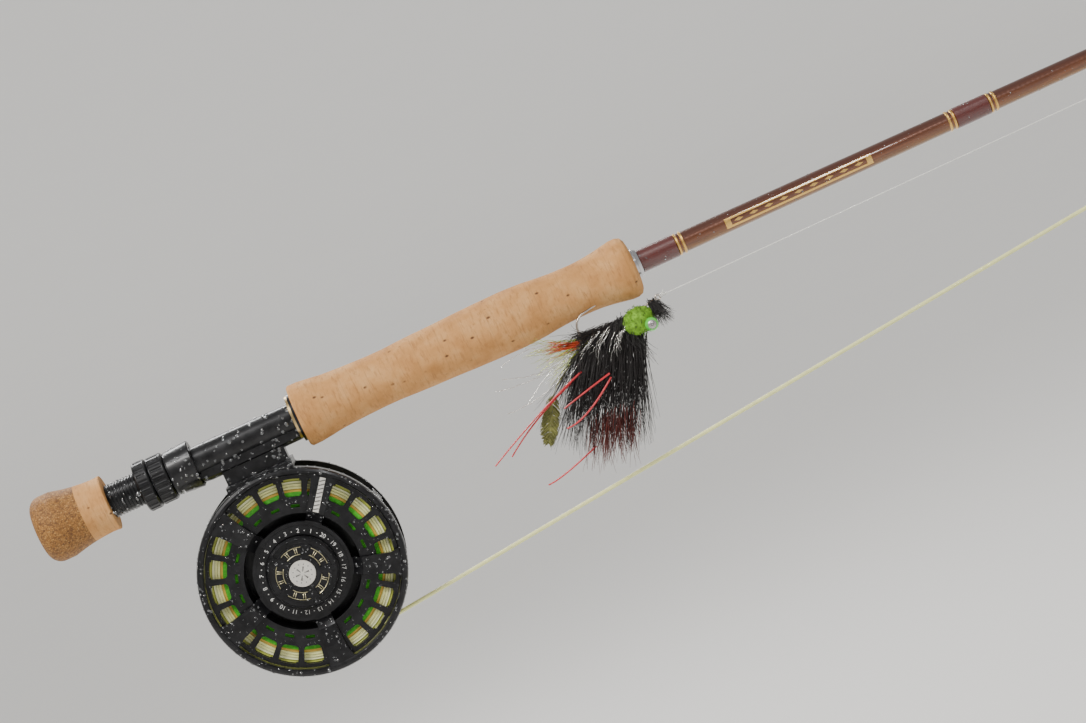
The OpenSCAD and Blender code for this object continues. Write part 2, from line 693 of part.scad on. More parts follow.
module fly_hook() color("#3a3a3e") on_hook() {
    rotate([90, 0, 0]) rotate_extrude() translate([eye_r - 0.5, 0]) circle(r = wire_r * 0.9, $fn = 24);
    bar([-eye_r + 0.4, 0, 0], [-shank_len, 0, 0], wire_r);
    translate([-shank_len, 0, bend_r]) rotate([90, 0, 0]) rotate([0, 0, 90])
        rotate_extrude(angle = 180) translate([bend_r, 0]) circle(r = wire_r, $fn = 24);
    bar([-shank_len, 0, 2 * bend_r], [-shank_len + point_len - 3, 0, 2 * bend_r], wire_r);
    translate([-shank_len + point_len - 3, 0, 2 * bend_r]) rotate([0, 90, 0])
        cylinder(h = 3, r1 = wire_r, r2 = 0.1, $fn = 24);
}

head_r = 6.5;
head_at = [-14, 0, -4];
eye_ball_r = 3.4;
eye_off = [4, 5, -5];

module fly_head() color("#86b83a") on_hook() translate(head_at) difference() {
    rotate([0, 90, 0]) translate([0, 0, -8]) rotate_extrude($fn = 32) polygon([[0, 0], [3.2, 0.6],
        [5.6, 3], [head_r, 7], [6.1, 11], [4.2, 14.4], [1.8, 16], [0, 16]]);
    translate([-20, 0, -head_at[2]]) rotate([0, 90, 0]) cylinder(h = 40, r = wire_r, $fn = 24);
    eye_balls();
}

module eye_balls() for (side = [-1, 1])
    translate([eye_off[0], side * eye_off[1], eye_off[2]]) sphere(r = eye_ball_r, $fn = 32);

module fly_eyes() color("#7fd13b") on_hook() translate(head_at) eye_balls();

// Hair and feather hang back and down from behind the head
tail_root = [296 - grip_mid, -9.2, -37];
tail_mid = [280 - grip_mid, -9, -55];
tail_low = [262 - grip_mid, -9, -80];
tail_back = [245 - grip_mid, -9, -52];

module fly_tail() color("#17130f") hull() {
    translate(tail_root) sphere(r = 4, $fn = 20);
    translate(tail_mid) sphere(r = 7, $fn = 20);
    translate(tail_low) sphere(r = 6, $fn = 20);
    translate(tail_back) sphere(r = 5, $fn = 20);
}

leg_count = 5;
leg_root = [264 - grip_mid, -9, -44];

module fly_legs() color("#d2202a")
    for (i = [0 : leg_count - 1]) tube([for (t = [0 : 0.2 : 1])
        leg_root + [-49 * t, (i - 2) * (0.8 + t), (i - 2) * 2.4 * t - 20 * t * t]],
        [0.6], [0, 1, 0], 6);

butt_cap();
butt_ring();
seat_barrel();
fixed_hood();
seat_collar();
rear_lock_ring();
front_lock_ring();
sliding_hood();
grip_cork();
winding_check();
blank_butt();
blank_lower();
blank_upper();
blank_tip();
grip_wraps();
gold_bands();
name_panel();
ferrule_wraps();
guide_wraps();
stripping_frames();
stripping_rings();
snake_guides();
tip_top();
reel_foot();
foot_screws();
reel_frame();
spoke_inlay();
dial_ring();
spindle();
ball_bearings();
one_way_clutch();
drag_housing();
carbon_discs();
steel_discs();
pressure_plate();
drag_springs();
drag_seal();
click_gear();
click_pawl();
pawl_pin();
pawl_spring();
drag_knob();
knob_badge();
spool();
backing();
wound_line();
handle_post();
handle_knob();
handle_screw();
counterweight();
spool_cap();
fly_line();
line_knot();
leader();
fly_hook();
fly_head();
fly_eyes();
fly_tail();
fly_legs();
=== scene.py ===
"""Fly rod and reel: cords, detailed pieces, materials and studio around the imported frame."""
import json
import math
import random

import bpy
from mathutils import Matrix, Vector


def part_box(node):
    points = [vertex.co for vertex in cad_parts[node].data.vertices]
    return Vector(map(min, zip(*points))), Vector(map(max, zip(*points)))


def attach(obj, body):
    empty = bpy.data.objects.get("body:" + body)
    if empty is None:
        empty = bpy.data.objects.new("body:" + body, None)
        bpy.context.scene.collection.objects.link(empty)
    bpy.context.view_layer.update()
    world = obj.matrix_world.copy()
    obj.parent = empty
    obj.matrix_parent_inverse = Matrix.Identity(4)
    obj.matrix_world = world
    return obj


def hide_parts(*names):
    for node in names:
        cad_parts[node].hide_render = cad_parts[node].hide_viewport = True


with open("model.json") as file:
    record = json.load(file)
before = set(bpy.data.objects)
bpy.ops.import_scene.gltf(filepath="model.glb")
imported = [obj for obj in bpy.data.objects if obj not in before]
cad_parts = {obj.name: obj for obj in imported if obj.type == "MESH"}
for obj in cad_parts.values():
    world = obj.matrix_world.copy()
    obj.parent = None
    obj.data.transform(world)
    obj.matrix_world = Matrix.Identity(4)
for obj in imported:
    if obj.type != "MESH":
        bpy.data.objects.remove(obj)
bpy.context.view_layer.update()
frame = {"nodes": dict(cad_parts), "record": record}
nodes = frame["nodes"]

MM = 0.001
GRIP_MID = 225 * MM
REEL = Vector((108 * MM - GRIP_MID, 0, -67.5 * MM))
AT_REEL = Matrix.Translation(REEL) @ Matrix.Rotation(math.radians(90), 4, "X")


# ---------------------------------------------------------------- camera

def add_camera():
    """Looks along +Y from a little above, rolled so that the rod climbs to the right."""
    aim = Vector((0.0296, 0, -0.0247))
    distance, yaw, pitch, roll = 1.4, -1.51, -4.84, -24.32
    data = bpy.data.cameras.new("camera")
    data.sensor_width = 36
    data.lens = 95.9
    camera = bpy.data.objects.new("camera", data)
    bpy.context.scene.collection.objects.link(camera)
    turn = (Matrix.Rotation(math.radians(yaw), 4, "Z")
            @ Matrix.Rotation(math.radians(90 + pitch), 4, "X")
            @ Matrix.Rotation(math.radians(roll), 4, "Z"))
    camera.matrix_world = Matrix.Translation(aim) @ turn @ Matrix.Translation((0, 0, distance))
    bpy.context.scene.camera = camera


add_camera()


# ---------------------------------------------------------------- material helpers

def new_material(name, color, rough=0.5, metal=0.0, coat=0.0, **sockets):
    """A principled material; returns it with its tree and its shader."""
    made = bpy.data.materials.new(name)
    made.use_nodes = True
    tree = made.node_tree
    shader = tree.nodes["Principled BSDF"]
    shader.inputs["Base Color"].default_value = (*color, 1)
    shader.inputs["Roughness"].default_value = rough
    shader.inputs["Metallic"].default_value = metal
    shader.inputs["Coat Weight"].default_value = coat
    for key, value in sockets.items():
        shader.inputs[key.replace("_", " ")].default_value = value
    return made, tree, shader


def node(tree, kind, links=(), **values):
    """A node with its settings, and its inputs linked from [(input, output socket)]."""
    made = tree.nodes.new(kind)
    for key, value in values.items():
        if key in made.inputs:
            made.inputs[key].default_value = value
        else:
            setattr(made, key, value)
    for key, source in links:
        tree.links.new(source, made.inputs[key])
    return made


def coords(tree, scale=(1, 1, 1)):
    place = node(tree, "ShaderNodeTexCoord")
    mapped = node(tree, "ShaderNodeMapping", [("Vector", place.outputs["Object"])], Scale=scale)
    return mapped.outputs["Vector"]


def noise(tree, vector, scale, detail=4.0, roughness=0.55):
    made = node(tree, "ShaderNodeTexNoise", [("Vector", vector)])
    made.inputs["Scale"].default_value = scale
    made.inputs["Detail"].default_value = detail
    made.inputs["Roughness"].default_value = roughness
    return made.outputs["Fac"]


def cells(tree, vector, scale):
    made = node(tree, "ShaderNodeTexVoronoi", [("Vector", vector)])
    made.inputs["Scale"].default_value = scale
    return made


def ramp(tree, source, stops):
    made = node(tree, "ShaderNodeValToRGB", [("Fac", source)])
    bar = made.color_ramp
    while len(bar.elements) < len(stops):
        bar.elements.new(0.5)
    for element, (place, color) in zip(bar.elements, stops):
        element.position = place
        element.color = (*color, 1)
    return made.outputs["Color"]


def gray(value):
    return (value, value, value)


def mix(tree, factor, one, two, blend="MIX"):
    made = tree.nodes.new("ShaderNodeMix")
    made.data_type = "RGBA"
    made.blend_type = blend
    for key, value in ((0, factor), (6, one), (7, two)):
        if isinstance(value, bpy.types.NodeSocket):
            tree.links.new(value, made.inputs[key])
        elif isinstance(value, tuple):
            made.inputs[key].default_value = (*value, 1)
        else:
            made.inputs[key].default_value = value
    return made.outputs[2]


def math_node(tree, operation, one, two=0.0):
    made = node(tree, "ShaderNodeMath", operation=operation)
    for key, value in ((0, one), (1, two)):
        if isinstance(value, bpy.types.NodeSocket):
            tree.links.new(value, made.inputs[key])
        else:
            made.inputs[key].default_value = value
    return made.outputs[0]


def color_from(tree, shader, source):
    tree.links.new(source, shader.inputs["Base Color"])


def rough_from(tree, shader, source, low, high):
    spread = node(tree, "ShaderNodeMapRange", [("Value", source)])
    spread.inputs["To Min"].default_value = low
    spread.inputs["To Max"].default_value = high
    tree.links.new(spread.outputs["Result"], shader.inputs["Roughness"])


def bump_from(tree, shader, source, depth, strength=1.0):
    """Bump whose full height is depth, in metres."""
    made = node(tree, "ShaderNodeBump", [("Height", source)])
    made.inputs["Strength"].default_value = strength
    made.inputs["Distance"].default_value = depth
    tree.links.new(made.outputs["Normal"], shader.inputs["Normal"])


# ---------------------------------------------------------------- materials

def cork_material():
    """Natural cork rings: pale ground, brown flecks, dark pits and fine seams between the rings."""
    made, tree, shader = new_material("cork", (0.57, 0.28, 0.095), 0.8, Specular_IOR_Level=0.25)
    place = coords(tree)
    around = coords(tree, (1.8, 0.4, 0.4))
    cloud = noise(tree, place, 90, 5, 0.6)
    ground = ramp(tree, cloud, [(0.25, (0.44, 0.20, 0.06)), (0.5, (0.57, 0.285, 0.10)),
                                (0.75, (0.66, 0.38, 0.16))])
    fleck = noise(tree, around, 420, 6, 0.7)
    flecked = mix(tree, ramp(tree, fleck, [(0.34, gray(0.7)), (0.48, gray(0.0))]), ground,
                  (0.36, 0.16, 0.055))
    pits = cells(tree, coords(tree, (0.6, 1, 1)), 210)
    pit_mask = ramp(tree, pits.outputs["Distance"], [(0.08, gray(1)), (0.16, gray(0))])
    rare = ramp(tree, noise(tree, place, 60, 2), [(0.46, gray(0)), (0.54, gray(1))])
    pit = mix(tree, 1.0, pit_mask, rare, "MULTIPLY")
    pitted = mix(tree, pit, flecked, (0.13, 0.06, 0.03))
    axes = node(tree, "ShaderNodeSeparateXYZ", [("Vector", place)])
    rings = math_node(tree, "MULTIPLY", axes.outputs["X"], 1 / 0.0127)
    seam = math_node(tree, "LESS_THAN", math_node(tree, "FRACT", rings), 0.025)
    seam = math_node(tree, "MULTIPLY", seam, 0.28)
    color_from(tree, shader, mix(tree, seam, pitted, (0.30, 0.17, 0.08)))
    height = mix(tree, 0.5, ramp(tree, pits.outputs["Distance"], [(0.04, gray(0)), (0.2, gray(1))]),
                 ramp(tree, fleck, [(0.2, gray(0)), (0.8, gray(1))]))
    bump_from(tree, shader, height, 0.00035, 0.7)
    return made


def burl_material():
    """Pressed cork granules in brown and orange with dark grout."""
    made, tree, shader = new_material("burl_cork", (0.4, 0.2, 0.08), 0.7)
    place = coords(tree)
    grain = cells(tree, place, 1500)
    tint = ramp(tree, math_node(tree, "FRACT", math_node(tree, "MULTIPLY", node(
        tree, "ShaderNodeSeparateColor", [("Color", grain.outputs["Color"])]).outputs[0], 1.0)),
        [(0.0, (0.15, 0.06, 0.012)), (0.3, (0.30, 0.13, 0.025)), (0.8, (0.38, 0.18, 0.04)),
         (1.0, (0.46, 0.25, 0.075))])
    edge = ramp(tree, grain.outputs["Distance"], [(0.35, gray(0)), (0.8, gray(0.7))])
    speck = ramp(tree, noise(tree, place, 700, 4, 0.6), [(0.36, gray(0.75)), (0.46, gray(0))])
    grouted = mix(tree, edge, tint, (0.12, 0.045, 0.01))
    color_from(tree, shader, mix(tree, speck, grouted, (0.09, 0.035, 0.01)))
    bump_from(tree, shader, grain.outputs["Distance"], 0.0003, 0.6)
    return made


def anodised_material(name, color, rough, metal=0.3, coat=0.25):
    """Black anodised metal: fine grain and an uneven damp film."""
    made, tree, shader = new_material(name, color, rough, metal, coat, Coat_Roughness=0.12,
                                      Specular_IOR_Level=0.3)
    place = coords(tree)
    film = noise(tree, place, 160, 5, 0.65)
    grain = noise(tree, place, 2600, 2)
    rough_from(tree, shader, film, rough - 0.12, rough + 0.16)
    lighter = tuple(min(1, c * 2.2 + 0.006) for c in color)
    color_from(tree, shader, mix(tree, ramp(tree, film, [(0.4, gray(0)), (0.75, gray(1))]),
                                 color, lighter))
    bump_from(tree, shader, grain, 0.00004, 0.5)
    return made


def blank_material():
    """Clear-coated amber blank with long wrap marks, and painted light and shade: paler underneath, darker along
    the top.
    """
    made, tree, shader = new_material("blank_amber", (0.15, 0.05, 0.015), 0.3, 0.35, 1.0,
                                      Coat_Roughness=0.04)
    place = coords(tree)
    streak = noise(tree, coords(tree, (0.05, 1, 1)), 900, 4, 0.6)
    axes = node(tree, "ShaderNodeSeparateXYZ", [("Vector", place)])
    # painted light and shade: the colour runs from paler amber underneath to dark on top of the blank
    low = node(tree, "ShaderNodeMapRange", [("Value", axes.outputs["Z"])])
    low.inputs["From Min"].default_value = -0.0045
    low.inputs["From Max"].default_value = 0.003
    ground = ramp(tree, low.outputs["Result"], [(0.0, (0.25, 0.115, 0.022)), (0.45, (0.18, 0.052, 0.011)),
                                                (1.0, (0.085, 0.02, 0.007))])
    color_from(tree, shader, mix(tree, ramp(tree, streak, [(0.35, gray(0.6)), (0.65, gray(0))]),
                                 ground, (0.07, 0.02, 0.01)))
    bands = node(tree, "ShaderNodeTexWave", [("Vector", place)], bands_direction="X")
    bands.inputs["Scale"].default_value = 120
    bands.inputs["Distortion"].default_value = 0.6
    bump_from(tree, shader, bands.outputs["Fac"], 0.00005, 0.4)
    return made


def thread_material(name, color, dark, metal=0.0):
    """Thread laid turn by turn under clear varnish, with painted shade in the grooves between the turns."""
    made, tree, shader = new_material(name, color, 0.35, metal, 1.0, Coat_Roughness=0.05)
    place = coords(tree)
    turns = node(tree, "ShaderNodeTexWave", [("Vector", place)], bands_direction="X")
    turns.inputs["Scale"].default_value = 800
    turns.inputs["Distortion"].default_value = 0.3
    # painted shade: the dark colour falls in the grooves between turns, where the bump is low
    color_from(tree, shader, mix(tree, turns.outputs["Fac"], dark, color))
    bump_from(tree, shader, turns.outputs["Fac"], 0.00008, 0.5)
    return made


def metal_material(name, color, rough, grain_scale=(1, 1, 1), grain=1500):
    """Machined metal with a fine directional grain and smudges."""
    made, tree, shader = new_material(name, color, rough, 1.0)
    marks = noise(tree, coords(tree, grain_scale), grain, 3)
    smudge = noise(tree, coords(tree), 120, 4)
    rough_from(tree, shader, smudge, max(0.03, rough - 0.08), rough + 0.12)
    dull = tuple(c * 0.8 for c in color)
    color_from(tree, shader, mix(tree, ramp(tree, marks, [(0.35, gray(0)), (0.7, gray(1))]), dull, color))
    bump_from(tree, shader, marks, 0.00002, 0.4)
    return made


def plastic_material(name, color, rough, coat=0.0, mottle=0.25, grain=900, depth=0.00004):
    made, tree, shader = new_material(name, color, rough, 0.0, coat)
    place = coords(tree)
    cloud = noise(tree, place, grain * 0.2, 4)
    fine = noise(tree, place, grain, 3)
    dull = tuple(c * (1 - mottle) for c in color)
    color_from(tree, shader, mix(tree, ramp(tree, cloud, [(0.35, gray(0)), (0.65, gray(1))]), dull, color))
    rough_from(tree, shader, fine, max(0.05, rough - 0.08), rough + 0.1)
    bump_from(tree, shader, fine, depth, 0.6)
    return made


def carbon_material():
    made, tree, shader = new_material("carbon", (0.03, 0.03, 0.03), 0.4, 0.0, 0.6)
    weave = node(tree, "ShaderNodeTexChecker", [("Vector", coords(tree))])
    weave.inputs["Scale"].default_value = 900
    color_from(tree, shader, mix(tree, weave.outputs["Fac"], (0.015, 0.015, 0.016), (0.05, 0.05, 0.052)))
    bump_from(tree, shader, weave.outputs["Fac"], 0.00005, 0.5)
    return made


def water_material():
    made, tree, shader = new_material("water", (0.94, 0.97, 1.0), 0.03, 0.0, 1.0, Coat_Roughness=0.02,
                                      Transmission_Weight=0.92, IOR=1.36)
    ripple = noise(tree, coords(tree), 700, 2)
    rough_from(tree, shader, ripple, 0.01, 0.05)
    return made


LOOKS = {
    "burl_cork": burl_material(),
    "cork": cork_material(),
    "black_anodised": anodised_material("black_anodised", (0.005, 0.005, 0.006), 0.32),
    "hood_black": anodised_material("hood_black", (0.008, 0.008, 0.009), 0.3),
    "brass_trim": metal_material("brass_trim", (0.62, 0.45, 0.22), 0.3),
    "check_metal": metal_material("check_metal", (0.62, 0.62, 0.64), 0.18, (6, 1, 1)),
    "blank_amber": blank_material(),
    "thread_burgundy": thread_material("thread_burgundy", (0.12, 0.012, 0.008), (0.045, 0.004, 0.003)),
    "gold_trim": thread_material("gold_trim", (0.90, 0.58, 0.16), (0.60, 0.34, 0.07), 0.9),
    "guide_steel": metal_material("guide_steel", (0.72, 0.72, 0.74), 0.12),
    "guide_frame": metal_material("guide_frame", (0.20, 0.20, 0.21), 0.25),
    "ceramic": plastic_material("ceramic", (0.05, 0.05, 0.055), 0.15, 0.8, 0.3),
    "steel": metal_material("steel", (0.56, 0.56, 0.58), 0.28, (1, 4, 1)),
    "silver_mark": metal_material("silver_mark", (0.96, 0.93, 0.87), 0.42, (1, 1, 5)),
    "dial": anodised_material("dial", (0.006, 0.006, 0.007), 0.4),
    "carbon": carbon_material(),
    "seal_rubber": plastic_material("seal_rubber", (0.02, 0.02, 0.02), 0.6),
    "bronze": metal_material("bronze", (0.50, 0.34, 0.16), 0.3),
    "backing_green": plastic_material("backing_green", (0.10, 0.62, 0.03), 0.55, 0.0, 0.4, 3000, 0.0001),
    "line_yellow": plastic_material("line_yellow", (0.84, 0.85, 0.38), 0.42, 0.2, 0.12, 1400),
    # painted shade: dark colour for the creases between wound turns of line
    "line_crease_shade": plastic_material("line_crease_shade", (0.06, 0.06, 0.01), 0.6),
    "leader_clear": plastic_material("leader_clear", (0.80, 0.80, 0.76), 0.15, 0.5, 0.08),
    "crank_plastic": plastic_material("crank_plastic", (0.02, 0.02, 0.022), 0.45, 0.0, 0.3, 2200, 0.0001),
    "hook_steel": metal_material("hook_steel", (0.62, 0.56, 0.50), 0.18),
    "wool_green": plastic_material("wool_green", (0.22, 0.50, 0.02), 0.8, 0.0, 0.6, 1800, 0.0004),
    "eye_green": plastic_material("eye_green", (0.12, 0.62, 0.07), 0.18, 0.8, 0.15),
    "hair_black": plastic_material("hair_black", (0.012, 0.009, 0.009), 0.42, 0.0, 0.4),
    "leg_red": plastic_material("leg_red", (0.62, 0.02, 0.03), 0.35, 0.3, 0.25, 2500),
    "line_pale": plastic_material("line_pale", (0.84, 0.86, 0.50), 0.42, 0.2, 0.12),
    # painted shade: dark green for the creases between wound turns of backing
    "backing_crease_shade": plastic_material("backing_crease_shade", (0.04, 0.30, 0.012), 0.6, 0.0, 0.3),
    # painted shade: a darker olive copy of the line colour, for its outermost layer and outer face
    "line_shaded_outer": plastic_material("line_shaded_outer", (0.46, 0.50, 0.08), 0.42, 0.2, 0.15),
    "line_ochre": plastic_material("line_ochre", (0.64, 0.42, 0.06), 0.42, 0.2, 0.15),
    "hair_red": plastic_material("hair_red", (0.13, 0.018, 0.012), 0.45, 0.0, 0.4),
    "tuft_orange": plastic_material("tuft_orange", (0.62, 0.06, 0.01), 0.4, 0.0, 0.3),
    "flash": metal_material("flash", (0.62, 0.72, 0.16), 0.2),
    "flash_pearl": metal_material("flash_pearl", (0.85, 0.84, 0.80), 0.2),
    "feather_olive": plastic_material("feather_olive", (0.20, 0.20, 0.05), 0.7, 0.0, 0.5, 1500, 0.0003),
    "digit_white": plastic_material("digit_white", (0.80, 0.80, 0.78), 0.5),
    "trim_pale": metal_material("trim_pale", (0.72, 0.66, 0.42), 0.35),
    "badge_ink": plastic_material("badge_ink", (0.16, 0.16, 0.15), 0.5),
    "eye_pearl": metal_material("eye_pearl", (0.62, 0.56, 0.58), 0.3),
    "water": water_material(),
}


def dress_cad_nodes():
    """Every carried-over CAD node takes the look of its material slot."""
    for part in frame["record"]["subparts"]:
        target = nodes[part["node"]]
        target.data.materials.clear()
        target.data.materials.append(LOOKS[part["material_slot"]])


dress_cad_nodes()


# ---------------------------------------------------------------- making pieces

def add_piece(name, data, look, body, slot, *replaced):
    """Links a piece, gives it its look, and rides it on a body."""
    if not data.materials:
        data.materials.append(LOOKS[look])
    made = bpy.data.objects.new(name, data)
    bpy.context.scene.collection.objects.link(made)
    if isinstance(data, bpy.types.Mesh):
        data.polygons.foreach_set("use_smooth", [True] * len(data.polygons))
    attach(made, body)
    if replaced:
        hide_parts(*replaced)
    return made


def mesh_from(name, points, faces, slots=None):
    data = bpy.data.meshes.new(name)
    data.from_pydata([tuple(p) for p in points], [], faces)
    if slots:
        data.polygons.foreach_set("material_index", slots)
    data.update()
    return data


def curve_from(name, paths, radius, smooth=True, sides=2, tapers=None):
    """A bevelled curve with a spline along each path of points."""
    data = bpy.data.curves.new(name, "CURVE")
    data.dimensions = "3D"
    data.bevel_depth = radius
    data.bevel_resolution = sides
    data.use_fill_caps = True
    for path in paths:
        line = data.splines.new("POLY")
        line.points.add(len(path) - 1)
        for i, place in enumerate(path):
            line.points[i].co = (*place, 1)
            if tapers:
                line.points[i].radius = tapers(i / (len(path) - 1))
        line.use_smooth = smooth
    return data


def lathe(outline, steps, place, close=True, index_of=None):
    """Revolves (radius, height) points about local Z, then moves them by the matrix."""
    count = len(outline)
    points = []
    for i in range(steps):
        turn = 2 * math.pi * i / steps
        points += [place @ Vector((r * math.cos(turn), r * math.sin(turn), h)) for r, h in outline]
    faces, slots = [], []
    for i in range(steps):
        here, there = i * count, (i + 1) % steps * count
        for j in range(count if close else count - 1):
            k = (j + 1) % count
            faces.append((here + j, there + j, there + k, here + k))
            slots.append(index_of(j) if index_of else 0)
    return points, faces, slots


# ---------------------------------------------------------------- cords

ROD_LEN = 2667
SNAKE_COUNT = 9
TIP_X = ROD_LEN + 4 - 225
TIP_Z = -4.6
LINE_R = 1.0
LEADER_R = 0.28


def guide_station(k):
    return ROD_LEN - k * 95 - 12 * k * (k - 1) / 2


def between(x, knots):
    """Straight-line interpolation along (x, y) knots."""
    for (x0, y0), (x1, y1) in zip(knots, knots[1:]):
        if x0 <= x <= x1:
            return y0 + (y1 - y0) * (x - x0) / (x1 - x0)
    return knots[-1][1]


TAPERS = {
    "upper": [(1303.5, 4.3), (1363.5, 4.1), (2015.25, 2.5)],
    "tip": [(1955.25, 3.25), (2015.25, 3.05), (2667, 0.95)],
}


def snake_line_z(k):
    taper = TAPERS["tip" if k <= 5 else "upper"]
    return -between(guide_station(k), taper) - 0.75 - (5.2 + 0.35 * k) * 0.52


def fly_line_route():
    exit_r, exit_angle = 42.85, math.radians(5.5)
    route = [(-117 + exit_r * math.sin(exit_angle), 0, -67.5 - exit_r * math.cos(exit_angle))]
    route += [(guide_station(11) - 225, 0, -20), (guide_station(10) - 225, 0, -14.5)]
    route += [(guide_station(k) - 225, 0, snake_line_z(k)) for k in range(SNAKE_COUNT, 0, -1)]
    route += [(TIP_X, 0, TIP_Z), (TIP_X + 3.4, 0, TIP_Z)]
    return [Vector(p) * MM for p in route]


HOOK_EYE = Vector((92.5, -9, -18.6)) * MM


def leader_route():
    knot = Vector((TIP_X + 9.4, 0, TIP_Z))
    steps = [(0, 0, 0), (2, -0.9, 0), (2.6, -1.8, 0), (2, -2.8, 0), (-1, -3.6, 0)]
    return [(knot + Vector(s)) * MM for s in steps] + [HOOK_EYE + Vector((1.4, 0, 0.2)) * MM]


def length_of(route):
    return sum((b - a).length for a, b in zip(route, route[1:]))


def add_cords():
    """The line is held taut through the guides; the leader runs back from the tip to the fly."""
    route = fly_line_route()
    line = add_piece("fly_line_run", curve_from("fly_line_run", [route], LINE_R * MM, True, 4),
                     "line_yellow", "rod", "line_yellow", "fly_line")
    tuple(route[0])
    length_of(route)
    back = leader_route()
    leader = add_piece("leader_run", curve_from("leader_run", [back], LEADER_R * MM, True, 3),
                       "leader_clear", "rod", "leader_clear", "leader")
    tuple(back[0])
    length_of(back)


add_cords()


# ---------------------------------------------------------------- wound line and backing

def ridges(start, end, count, steps=5):
    """Points along a row of half-round turns from start to end, bulging to the left of the way."""
    start, end = Vector(start), Vector(end)
    along = (end - start) / count
    out = Vector((-along.y, along.x)) / 2
    points = []
    for i in range(count):
        middle = start + along * (i + 0.5)
        for j in range(steps):
            turn = math.pi * j / steps
            points.append(middle - along / 2 * math.cos(turn) + out * math.sin(turn))
    return points


def wound_pack(name, r_in, r_out, half, layers, across, dip, looks, *replaced):
    """Line wound in layers: ridged side faces, one ridge a layer, and a ridged outer face
    that is dip mm lower in the middle of its width."""
    steps = 5
    turn = (r_out - r_in) / layers / 2
    front = ridges((r_out, half - turn), (r_in, half - turn), layers, steps)
    rear = ridges((r_in, turn - half), (r_out, turn - half), layers, steps)
    outer = ridges((r_out - turn, turn - half), (r_out - turn, half - turn), across, steps)
    outline = [tuple(p * MM) for p in rear + [Vector((r_out, turn - half))] + [
        Vector((2 * r_out - 2 * turn - p.x - dip * min(1, max(0, (9 - abs(p.y)) / 6)), p.y))
        for p in outer] + front + [Vector((r_in, half - turn))]]
    side = layers * steps

    def index_of(j):
        if side <= j < len(outline) - side - 1:
            return layers - 1
        k = j if j < side else len(outline) - 2 - j
        # painted shade: the last look goes on the crease at the start of each ridge after the first
        return len(looks) - 1 if k % steps == 0 and k else k // steps

    data = mesh_from(name, *lathe(outline, 160, AT_REEL, True, index_of))
    for look in looks:
        data.materials.append(LOOKS[look])
    return add_piece(name, data, looks[0], "spool", replaced[0][1], replaced[0][0])


# the last look in each list is painted shade for the creases between turns
wound_pack("backing_turns", 30.05, 38.15, 12.95, 14, 30, 0, ["backing_green"] * 14 + ["backing_crease_shade"],
           ("backing", "backing_green"))
# the olive look on the line's outermost layer and outer face is painted shade
wound_pack("line_turns", 38.25, 44.55, 12.95, 5, 18, 3.1,
           ["line_ochre", "line_yellow", "line_yellow", "line_pale", "line_shaded_outer", "line_crease_shade"],
           ("wound_line", "line_yellow"))


# ---------------------------------------------------------------- dial, knob and badge trim

def text_mesh(body, size):
    """A flat numeral as a mesh, centred on the origin."""
    data = bpy.data.curves.new("numeral", "FONT")
    data.body = body
    data.size = size
    data.extrude = 0.00008
    data.align_x = "CENTER"
    data.align_y = "CENTER"
    holder = bpy.data.objects.new("numeral", data)
    bpy.context.scene.collection.objects.link(holder)
    bpy.context.view_layer.update()
    made = bpy.data.meshes.new_from_object(holder.evaluated_get(bpy.context.evaluated_depsgraph_get()))
    bpy.data.objects.remove(holder)
    bpy.data.curves.remove(data)
    return made


def joined(name, parts):
    """One mesh from [(mesh, matrix)]."""
    points, faces = [], []
    for part, place in parts:
        base = len(points)
        points += [place @ v.co for v in part.vertices]
        faces += [tuple(base + i for i in p.vertices) for p in part.polygons]
    return mesh_from(name, points, faces)


def polar(radius, degrees, height, spin=0.0):
    """A place on the reel's face: radius and angle about the axle, height towards the drag side."""
    return (AT_REEL @ Matrix.Rotation(math.radians(degrees), 4, "Z")
            @ Matrix.Translation((radius * MM, 0, height * MM))
            @ Matrix.Rotation(math.radians(spin), 4, "Z"))


def disc_mesh(radius, thick, sides=16):
    ring = [(radius * math.cos(2 * math.pi * i / sides), radius * math.sin(2 * math.pi * i / sides))
            for i in range(sides)]
    points = [(x, y, z) for z in (0, thick) for x, y in ring]
    faces = [tuple(range(sides, 2 * sides))]
    faces += [(i, (i + 1) % sides, sides + (i + 1) % sides, sides + i) for i in range(sides)]
    return mesh_from("disc", points, faces)


def dial_numbers():
    """Numbers 1 to 20 around the hub, with a dot between each pair."""
    count, start, radius, height = 20, 54.5, 19.7, 14.88
    parts = []
    dot = disc_mesh(0.00028, 0.00012)
    for i in range(count):
        angle = start + i * 360 / count
        parts.append((text_mesh(str(i + 1), 0.0029), polar(radius, angle, height, -90)))
        parts.append((dot, polar(radius, angle + 180 / count, height)))
    add_piece("dial_numbers", joined("dial_numbers", parts), "digit_white", "rod", "silver_mark")


def ribbon(r_in, r_out, start, end, height, thick=0.12, steps=14):
    """A thin raised arc on the reel's face."""
    points, faces = [], []
    for i in range(steps + 1):
        turn = math.radians(start + (end - start) * i / steps)
        for r, h in ((r_in, height), (r_out, height), (r_out, height + thick), (r_in, height + thick)):
            points.append(AT_REEL @ (Vector((r * math.cos(turn), r * math.sin(turn), h)) * MM))
    for i in range(steps):
        for j in range(4):
            k = (j + 1) % 4
            faces.append((4 * i + j, 4 * i + k, 4 * i + 4 + k, 4 * i + 4 + j))
    faces += [(0, 3, 2, 1), (4 * steps, 4 * steps + 1, 4 * steps + 2, 4 * steps + 3)]
    return mesh_from("ribbon", points, faces)


